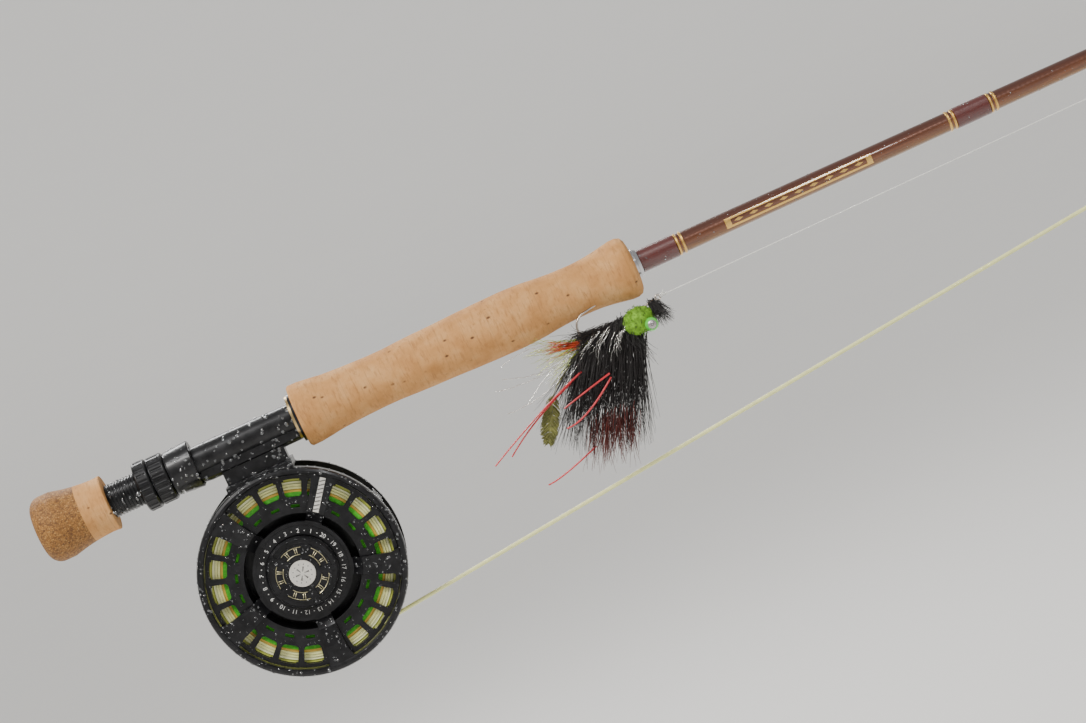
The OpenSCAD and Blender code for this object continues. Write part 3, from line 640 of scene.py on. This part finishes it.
def knob_trim():
    """Pale outlined cells in the knob's five inner recesses: two arcs joined by double bars."""
    still = Matrix.Identity(4)
    height, first, half, bar = 21.42, 22.5, 26, 1.7
    parts = []
    for group in range(5):
        middle = first + 72 * group
        parts.append((ribbon(12.55, 12.95, middle - half, middle + half, height), still))
        parts.append((ribbon(9.0, 9.4, middle - half + 3, middle + half - 3, height), still))
        for turn in (-14.5, -9.5, 9.5, 14.5):
            cut = middle + turn
            parts.append((ribbon(9.3, 12.65, cut - bar / 2, cut + bar / 2, height, steps=2), still))
    add_piece("knob_trim", joined("knob_trim", parts), "trim_pale", "knob", "brass_trim")


def badge_marks():
    """A plain ring of dots and a six-rayed rosette on the badge."""
    still = Matrix.Identity(4)
    parts = [(disc_mesh(0.00026, 0.00008), polar(4.5, 30 * i, 22.3)) for i in range(12)]
    parts += [(ribbon(1.0, 3.4, 60 * i - 7, 60 * i + 7, 22.3, 0.08, 3), still) for i in range(6)]
    add_piece("badge_marks", joined("badge_marks", parts), "badge_ink", "knob", "silver_mark")


def inlay_ticks():
    """Slanted dark ticks across the pale inlay of one spoke."""
    parts = []
    for i in range(8):
        r = 31 + 2 * i
        height = 18.66 if r > 38 else 17.4 + (r - 29) / 9 + 0.26
        box = [(x, y, z) for z in (0, 0.05) for x, y in ((-0.3, -1.4), (0.3, -1.4), (0.3, 1.4), (-0.3, 1.4))]
        faces = [(4, 5, 6, 7), (0, 1, 5, 4), (1, 2, 6, 5), (2, 3, 7, 6), (3, 0, 4, 7)]
        mesh = mesh_from("tick", [Vector(p) * MM for p in box], faces)
        parts.append((mesh, polar(r, 53.5, height, 24)))
    add_piece("inlay_ticks", joined("inlay_ticks", parts), "badge_ink", "rod", "silver_mark")


def panel_lozenges():
    """A row of small gold lozenges inside the outlined panel on the front of the blank."""
    count, first, step = 9, 369, 8
    points, faces = [], []
    for i in range(count):
        station = first + step * i
        radius = between(station, [(317, 5.3), (575, 4.5)]) + 0.06
        base = len(points)
        for along, turn in ((-2.4, -5), (0, 4), (2.4, -5), (0, -14), (0, -5)):
            a = math.radians(turn)
            points.append(Vector((station + along - 225, -radius * math.cos(a), radius * math.sin(a))) * MM)
        faces += [(base + 4, base + j, base + (j + 1) % 4) for j in range(4)]
    add_piece("panel_lozenges", mesh_from("panel_lozenges", points, faces), "gold_trim", "rod", "gold_trim")


dial_numbers()
knob_trim()
badge_marks()
inlay_ticks()
panel_lozenges()


# ---------------------------------------------------------------- the fly

SAG = Vector((-0.415, 0, -0.91))
FLY_Y = -9


def strand(draw, root, way, length, curl=0.25, steps=8, sag=0.6, crinkle=0.0):
    """A fibre that leaves root along way and bends towards where it hangs."""
    place = Vector(root)
    way = Vector(way).normalized()
    drift = Vector((draw.uniform(-1, 1), draw.uniform(-0.45, 0.45), draw.uniform(-1, 1))) * curl
    points = [place.copy()]
    for i in range(steps):
        t = (i + 1) / steps
        aim = (way * (1 - sag * t) + SAG * sag * t + drift * t).normalized()
        place = place + aim * length / steps
        zig = Vector((draw.uniform(-1, 1), draw.uniform(-0.6, 0.6), draw.uniform(-1, 1))) * crinkle * MM
        points.append(place + zig)
    return points


def fibres(name, seed, count, roots, ways, lengths, radius, look, slot, *replaced,
           spread=1.5, curl=0.25, sag=0.6, crinkle=0.0, fan=0.12, steps=8):
    """Strands from a line of roots, fanned between two ways. Places and lengths in millimetres."""
    draw = random.Random(seed)
    paths = []
    for _ in range(count):
        t = draw.random()
        root = Vector(roots[0]) * (1 - t) + Vector(roots[1]) * t
        root += Vector([draw.gauss(0, 0.5) for _ in range(3)]) * spread
        t = min(1, max(0, t + draw.gauss(0, 0.25)))
        way = Vector(ways[0]) * (1 - t) + Vector(ways[1]) * t
        way += Vector((draw.uniform(-0.1, 0.1), draw.uniform(-1, 1) * fan, draw.uniform(-0.1, 0.1)))
        paths.append(strand(draw, root * MM, way, draw.uniform(*lengths) * MM, curl, steps, sag, crinkle))
    data = curve_from(name, paths, radius * MM, True, 1, lambda t: 1 - 0.7 * t * t)
    return add_piece(name, data, look, "rod", slot, *replaced)


def wool_head():
    """The dubbed head: short curled fibres of uneven length over the tied core."""
    draw = random.Random(5)
    low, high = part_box("fly_head")
    middle = (Vector(low) + Vector(high)) / 2
    half = (Vector(high) - Vector(low)) / 2
    paths = []
    for _ in range(1500):
        way = Vector([draw.gauss(0, 1) for _ in range(3)]).normalized()
        root = middle + Vector([w * h * 0.8 for w, h in zip(way, half)])
        points = [root]
        reach = draw.uniform(0.25, 0.8) * MM
        for i in range(5):
            twist = Vector([draw.uniform(-1, 1) for _ in range(3)])
            root = root + (way * (0.7 - 0.15 * i) + twist * 0.8).normalized() * reach
            points.append(root)
        paths.append(points)
    data = curve_from("wool_fibres", paths[:1150], 0.1 * MM, True, 1)
    add_piece("wool_fibres", data, "wool_green", "rod", "wool_green")
    data = curve_from("wool_shadow", paths[1150:], 0.12 * MM, True, 1)
    add_piece("wool_shadow", data, "hair_black", "rod", "hair_black")


def eye_discs():
    """Each eye: a pearl disc with two fine rings, in a green rim."""
    places = [v.co for v in nodes["fly_eyes"].data.vertices]
    parting = sum(p.y for p in places) / len(places)
    discs, rings = [], []
    for side in (-1, 1):
        ball = [p for p in places if (p.y - parting) * side > 0]
        ends = [(min(p[i] for p in ball), max(p[i] for p in ball)) for i in range(3)]
        centre = Vector([(a + b) / 2 for a, b in ends])
        radius = (ends[1][1] - ends[1][0]) / 2
        place = Matrix.Translation(centre) @ Matrix.Rotation(math.radians(-90 * side), 4, "X")
        cap = [(radius * 1.006 * math.sin(0.155 * a), radius * 1.006 * math.cos(0.155 * a)) for a in range(5)]
        discs.append((mesh_from("cap", *lathe(cap, 28, place, False)), Matrix.Identity(4)))
        for turn, width in ((0.64, 0.03), (0.42, 0.025), (0.2, 0.06)):
            band = [(radius * 1.012 * math.sin(a), radius * 1.012 * math.cos(a))
                    for a in (turn - width, turn, turn + width)]
            rings.append((mesh_from("band", *lathe(band, 28, place, False)), Matrix.Identity(4)))
    add_piece("eye_discs", joined("eye_discs", discs), "eye_pearl", "rod", "silver_mark")
    add_piece("eye_rings", joined("eye_rings", rings), "badge_ink", "rod", "eye_green")


def tippet_knot():
    """Turns of leader around the standing end, just in front of the hook's eye."""
    turns, steps = 6, 12
    start = HOOK_EYE + Vector((0.9, 0, 0.2)) * MM
    path = []
    for i in range(turns * steps + 1):
        turn = 2 * math.pi * i / steps
        wide = 0.8 - 0.35 * i / (turns * steps)
        path.append(start + Vector((4.6 * i / (turns * steps), wide * math.cos(turn),
                                    wide * math.sin(turn))) * MM)
    tag = [start + Vector((1.2, 0, 0.4)) * MM, start + Vector((2.2, -0.6, 1.4)) * MM,
           start + Vector((2.9, -0.8, 2.3)) * MM]
    data = curve_from("tippet_knot", [path, tag], LEADER_R * MM, True, 2)
    add_piece("tippet_knot", data, "leader_clear", "rod", "leader_clear")


def bent(start, middle, end, steps=14):
    """A smooth path through three (x, y, z) places."""
    a, m, b = Vector(start), Vector(middle), Vector(end)
    pull = 2 * m - (a + b) / 2
    return [(a * (1 - t) ** 2 + pull * 2 * t * (1 - t) + b * t * t) * MM
            for t in [i / steps for i in range(steps + 1)]]


def rubber_legs():
    """Rubber legs: a long pair trailing back, shorter ones beside the hair, and one thin low strand."""
    paths = [bent((44, -11, -36), (18.9, -13, -45.3), (-12.3, -12, -60.2)),
             bent((40, -10, -38), (16.5, -12, -47.5), (-3.1, -11, -59.5)),
             bent((56, -14, -42), (43, -15.5, -44.8), (29.2, -15, -48.3)),
             bent((56, -13, -44), (39, -15.5, -54.5), (26.5, -15, -57.6)),
             bent((36, -8, -72), (18, -8, -77.8), (7.3, -8, -79.6))]
    data = curve_from("rubber_legs", paths, 0.5 * MM, True, 2, lambda t: 1 - 0.25 * t)
    add_piece("rubber_legs", data, "leg_red", "rod", "leg_red", "fly_legs")


def feather():
    """A short olive feather: a quill with barbs down both sides."""
    draw = random.Random(17)
    top, foot = Vector((27, -10, -41)), Vector((15.5, -10.5, -61))
    down = (foot - top).normalized()
    across = Vector((down.z, 0, -down.x))
    quill = bent((49, FLY_Y, -27), (36, -10, -33.5), top)[:-1] + [(top + (foot - top) * i / 8) * MM
                                                            for i in range(9)]
    paths = []
    for i in range(420):
        t = draw.random() ** 0.8
        side = draw.choice((-1, 1))
        root = top + (foot - top) * t
        reach = 5.4 * math.sin(math.pi * min(0.9, 0.2 + 0.7 * t)) + draw.uniform(-0.9, 0.9)
        tip = root + across * side * reach * 0.72 + down * reach * 0.7
        tip += Vector((draw.uniform(-0.5, 0.5), draw.uniform(-1.2, 1.2), draw.uniform(-0.5, 0.5)))
        paths.append([root * MM, ((root + tip) / 2 + down * -0.4) * MM, tip * MM])
    add_piece("feather_barbs", curve_from("feather_barbs", paths, 0.17 * MM, True, 1), "feather_olive",
              "rod", "hair_black")
    add_piece("feather_quill", curve_from("feather_quill", [quill], 0.3 * MM, True, 2,
                                          lambda t: 1 - 0.6 * t), "feather_olive", "rod", "hair_black")


def long_flashes():
    """A few long crinkled strands that stand out of the tail bundle."""
    draw = random.Random(31)
    paths = []
    for end, lift in (((10.2, -10, -18.1), -5), ((2.2, -11, -27.5), 3.5), ((8, -8, -24), 4),
                      ((14.1, -12, -39.5), -3), ((3.1, -9, -40), 5), ((24, -9, -14.5), 2)):
        start = Vector((50, FLY_Y, -25))
        middle = (start + Vector(end)) / 2 + Vector((0, 0, -lift))
        path = bent(start, middle, end, 26)
        paths.append([q + Vector((draw.uniform(-1, 1), draw.uniform(-0.4, 0.4), draw.uniform(-1, 1)))
                      * 0.28 * MM for q in path])
    add_piece("fly_flash_long", curve_from("fly_flash_long", paths, 0.2 * MM, True, 1), "flash_pearl",
              "rod", "guide_steel")


def fly_dressing():
    """Hair, hackle, flash and tuft tied along the hook, all hanging as they do at rest."""
    fibres("fly_hair", 11, 760, ((50, FLY_Y, -24), (79, FLY_Y, -32)), ((-0.62, 0, -0.78), (-0.36, 0, -0.93)),
           (24, 56), 0.16, "hair_black", "hair_black", "fly_tail", curl=0.3, crinkle=0.12)
    fibres("fly_hair_side", 21, 150, ((50, FLY_Y, -25), (60, FLY_Y, -28)),
           ((-0.88, 0, -0.45), (-0.6, 0, -0.8)), (22, 46), 0.13, "hair_black", "hair_black", curl=0.45, crinkle=0.2)
    fibres("fly_hair_tips", 12, 200, ((40, FLY_Y, -60), (60, FLY_Y, -62)),
           ((-0.5, 0, -0.8), (-0.3, 0, -0.95)), (14, 25), 0.14, "hair_red", "hair_black", curl=0.35, crinkle=0.15, spread=5)
    fibres("fly_hackle", 13, 230, ((87.5, FLY_Y, -19), (90, FLY_Y, -19.5)), ((0.1, 0, -1), (0.55, 0, -0.75)),
           (6, 14), 0.12, "hair_black", "hair_black", curl=0.5, sag=0.2, fan=0.5)
    fibres("fly_body_hair", 14, 420, ((55, FLY_Y, -21), (74, FLY_Y, -21)), ((-0.7, 0, 0.15), (-0.6, 0, -0.7)),
           (8, 20), 0.14, "hair_black", "hair_black", curl=0.7, sag=0.4, crinkle=0.25, fan=0.5)
    fibres("fly_collar", 18, 260, ((72, FLY_Y, -20), (75, FLY_Y, -34)), ((-0.3, 0, -0.9), (0.2, 0, -1)),
           (5, 14), 0.13, "hair_black", "hair_black", curl=0.6, sag=0.3, fan=0.7, spread=3)
    fibres("fly_flash", 15, 46, ((49, FLY_Y, -23.5), (54, FLY_Y, -24.5)),
           ((-0.95, 0, 0.34), (-0.9, 0, -0.35)), (18, 31), 0.17, "flash", "guide_steel", curl=0.45, sag=0.12, crinkle=0.5, steps=16)
    fibres("fly_flash_pearl", 16, 16, ((49, FLY_Y, -24), (54, FLY_Y, -25)),
           ((-0.9, 0, 0.1), (-0.85, 0, -0.5)), (18, 32), 0.16, "flash_pearl", "guide_steel", curl=0.45, sag=0.12, crinkle=0.5, steps=16)
    fibres("fly_glints", 19, 22, ((56, -13, -21), (76, -13, -27)), ((-0.8, 0, -0.3), (-0.7, 0, -0.7)),
           (8, 16), 0.14, "flash_pearl", "guide_steel", curl=0.6, sag=0.3, crinkle=0.4, steps=12)
    fibres("fly_tuft", 20, 26, ((46, -11, -23.5), (50, -11, -24)), ((-0.93, 0, 0.42), (-0.95, 0, 0.2)),
           (13, 18), 0.17, "tuft_orange", "leg_red", curl=0.25, sag=0.05, fan=0.08)


wool_head()
eye_discs()
tippet_knot()
rubber_legs()
feather()
long_flashes()
fly_dressing()


# ---------------------------------------------------------------- water drops

def surface_samples(node_name, accept):
    """Triangles of a node that accept(centre, normal) lets through, with their areas."""
    data = nodes[node_name].data
    data.calc_loop_triangles()
    picked = []
    for tri in data.loop_triangles:
        a, b, c = (data.vertices[i].co for i in tri.vertices)
        if accept((a + b + c) / 3, tri.normal):
            picked.append((tri.area, a.copy(), b.copy(), c.copy(), tri.normal.copy()))
    return picked


def dome(points, faces, place, normal, radius, height):
    """Adds one flattened drop to a mesh being made."""
    turn = normal.to_track_quat("Z", "Y").to_matrix()
    base, sides = len(points), 10
    for ring_r, ring_h in ((1.0, -0.08), (0.88, 0.38), (0.5, 0.84)):
        for i in range(sides):
            a = 2 * math.pi * i / sides
            points.append(place + turn @ Vector((ring_r * radius * math.cos(a),
                                                 ring_r * radius * math.sin(a), ring_h * height)))
    points.append(place + normal * height)
    for r in range(2):
        for i in range(sides):
            k = (i + 1) % sides
            faces.append((base + r * sides + i, base + r * sides + k,
                          base + (r + 1) * sides + k, base + (r + 1) * sides + i))
    for i in range(sides):
        faces.append((base + 2 * sides + i, base + 2 * sides + (i + 1) % sides, base + 3 * sides))
    faces.append(tuple(base + i for i in reversed(range(sides))))


def scatter_drops(name, seed, body, per_node):
    """per_node: {node: (count, largest radius in mm, accept)}."""
    draw = random.Random(seed)
    points, faces = [], []
    for node_name, (count, largest, accept) in per_node.items():
        picked = surface_samples(node_name, accept)
        if not picked:
            continue
        chosen = draw.choices(picked, weights=[p[0] for p in picked], k=count)
        for _, a, b, c, normal in chosen:
            u, v = draw.random(), draw.random()
            if u + v > 1:
                u, v = 1 - u, 1 - v
            place = a + (b - a) * u + (c - a) * v
            radius = largest * MM * (0.35 + 0.65 * draw.random() ** 2.2)
            dome(points, faces, place, normal, radius, min(radius * 0.5, 0.55 * MM))
    add_piece(name, mesh_from(name, points, faces), "water", body, "leader_clear")


def on_rod(least):
    """Outward-facing skin of the rod, at least so far from its axis (mm)."""
    def accept(centre, normal):
        out = Vector((0, centre.y, centre.z))
        return out.length > least * MM and normal.dot(out.normalized()) > 0.6
    return accept


def on_reel(least_r=0.0, least_front=0.0):
    """Faces of the reel that look outwards from the axle or towards the drag side."""
    def accept(centre, normal):
        out = Vector((centre.x - REEL.x, 0, centre.z - REEL.z))
        rim = out.length > 49.5 * MM and normal.dot(out.normalized()) > 0.7 and out.z > -49 * MM
        front = normal.y < -0.6 and -centre.y > least_front * MM and out.length > least_r * MM
        return rim or (front and out.z > -49 * MM)
    return accept


def on_crank_side(centre, normal):
    """Rear faces of the spool."""
    return normal.y > 0.6 and centre.y > 14 * MM


def add_drops():
    scatter_drops("drops_rod", 21, "rod", {
        "seat_barrel": (300, 1.25, on_rod(7.5)),
        "fixed_hood": (8, 0.7, on_rod(12)),
        "reel_foot": (150, 1.1, lambda c, n: n.y < -0.4 or n.z > 0.5),
        "blank_butt": (560, 0.62, on_rod(3.9)),
        "blank_lower": (200, 0.5, on_rod(3.4)),
        "grip_wraps": (60, 0.5, on_rod(5)),
        "reel_frame": (900, 0.8, on_reel(25, 13)),
        "dial_ring": (16, 0.35, on_reel(0, 13)),
    })
    scatter_drops("drops_knob", 22, "knob", {"drag_knob": (90, 0.5, on_reel(0, 21.5))})
    scatter_drops("drops_spool", 23, "spool", {"spool": (220, 0.55, on_reel(30, 14.2))})
    scatter_drops("drops_crank_side", 27, "spool", {"spool": (240, 0.7, on_crank_side)})
    scatter_drops("drops_hood", 24, "hood", {"sliding_hood": (60, 1.1, on_rod(10))})
    scatter_drops("drops_front_ring", 25, "front_ring", {"front_lock_ring": (34, 0.6, on_rod(11))})
    scatter_drops("drops_rear_ring", 26, "rear_ring", {"rear_lock_ring": (30, 0.6, on_rod(11))})


add_drops()


# ---------------------------------------------------------------- studio

def add_floor():
    """A wide pale floor below the object that rises smoothly far away all round, and its world."""
    flat, rise, depth = 9.0, 8.0, -0.42
    outline = [(0.001, depth), (flat / 2, depth)]
    for i in range(13):
        turn = math.radians(7 * i)
        outline.append((flat + rise * math.sin(turn), depth + rise * (1 - math.cos(turn))))
    data = mesh_from("studio_floor", *lathe(outline, 64, Matrix.Identity(4), False))
    data.polygons.foreach_set("use_smooth", [True] * len(data.polygons))
    made, tree, shader = new_material("studio_floor", (0.80, 0.79, 0.77), 0.95, Specular_IOR_Level=0.1)
    color_from(tree, shader, mix(tree, noise(tree, coords(tree), 3), (0.79, 0.78, 0.76), (0.81, 0.80, 0.78)))
    data.materials.append(made)
    floor = bpy.data.objects.new("studio_floor", data)
    bpy.context.scene.collection.objects.link(floor)
    world = bpy.data.worlds.new("studio")
    world.use_nodes = True
    world.node_tree.nodes["Background"].inputs["Color"].default_value = (0.86, 0.85, 0.83, 1)
    world.node_tree.nodes["Background"].inputs["Strength"].default_value = 0.55
    bpy.context.scene.world = world


def add_light(name, place, aim, size, power, color=(1, 1, 1)):
    data = bpy.data.lights.new(name, "AREA")
    data.shape = "RECTANGLE"
    data.size, data.size_y = size
    data.energy = power
    data.color = color
    light = bpy.data.objects.new(name, data)
    bpy.context.scene.collection.objects.link(light)
    light.location = place
    light.rotation_euler = (Vector(aim) - Vector(place)).to_track_quat("-Z", "Y").to_euler()


def add_sun(name, way, power, soft):
    """A soft far light that shines along way, so the whole floor is lit evenly."""
    data = bpy.data.lights.new(name, "SUN")
    data.energy = power
    data.angle = math.radians(soft)
    light = bpy.data.objects.new(name, data)
    bpy.context.scene.collection.objects.link(light)
    light.rotation_euler = Vector(way).to_track_quat("-Z", "Y").to_euler()


def add_lights():
    add_sun("sun", (0.35, 0.55, -0.9), 1.5, 25)
    add_light("key", (-0.7, -0.7, 1.0), (-0.05, 0, -0.03), (0.5, 0.35), 13, (1, 0.96, 0.9))
    add_light("rim", (-0.3, 0.9, 0.8), (0, 0, 0), (1.0, 0.3), 13)
    add_light("glint", (0.35, -0.9, 0.55), (-0.05, 0, -0.05), (0.12, 0.12), 1.6)


add_floor()
add_lights()
